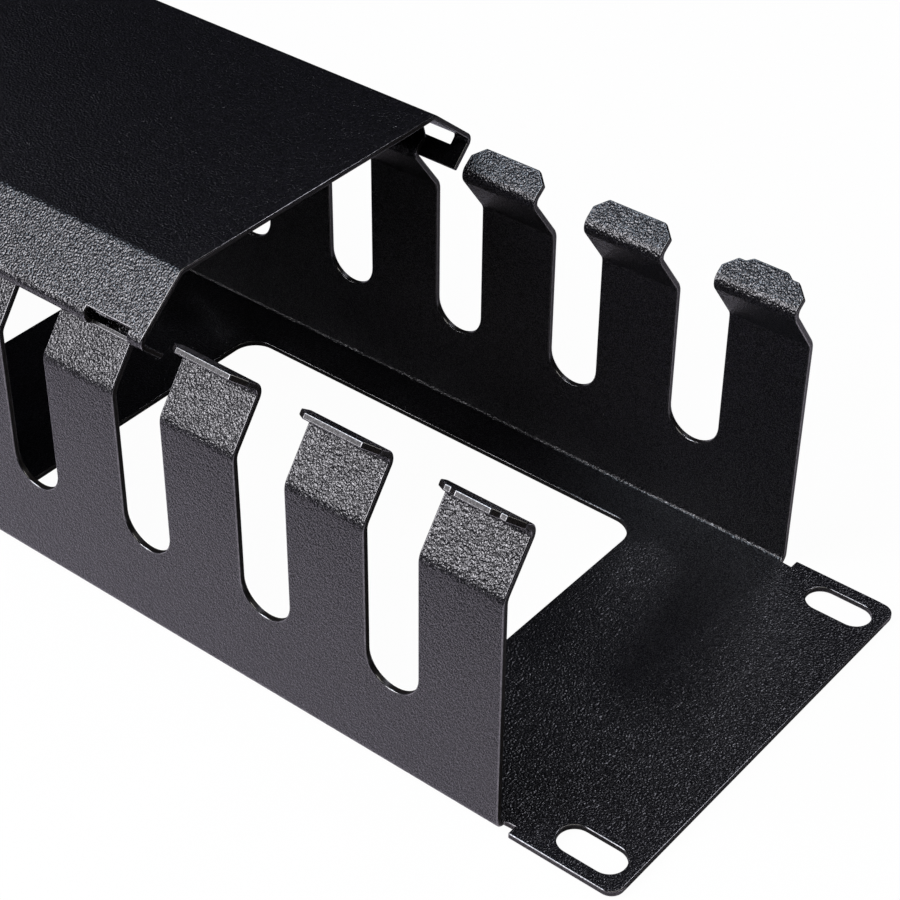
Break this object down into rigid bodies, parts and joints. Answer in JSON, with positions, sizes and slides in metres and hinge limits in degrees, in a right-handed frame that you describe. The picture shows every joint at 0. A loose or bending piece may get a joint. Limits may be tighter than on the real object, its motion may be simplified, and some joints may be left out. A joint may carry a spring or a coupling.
{
  "type": "horizontal cable manager",
  "caption": "Rack-mount horizontal cable manager: a black folded steel duct with a comb of retaining fingers along each side and a removable slide-on cover.",
  "frame": {"origin": "centre of the panel's back face, midway between the four mounting slots", "axes": "+X along the 19 inch width, +Y across the panel, +Z out of the rack's front, towards the cover"},
  "size_m": [0.535, 0.0882, 0.0725],
  "materials": {
    "black_powder_coat": "black powder coat with a fine pebbled texture, satin"
  },
  "bodies": {
    "duct": {"duct_body": "black_powder_coat"},
    "cover": {"cable_cover": "black_powder_coat"}
  },
  "joints": [
    {"name": "cover_slide", "type": "slide", "parent": "duct", "child": "cover", "axis": [1, 0, 0], "range_m": [-0.365, 0.076]}
  ]
}
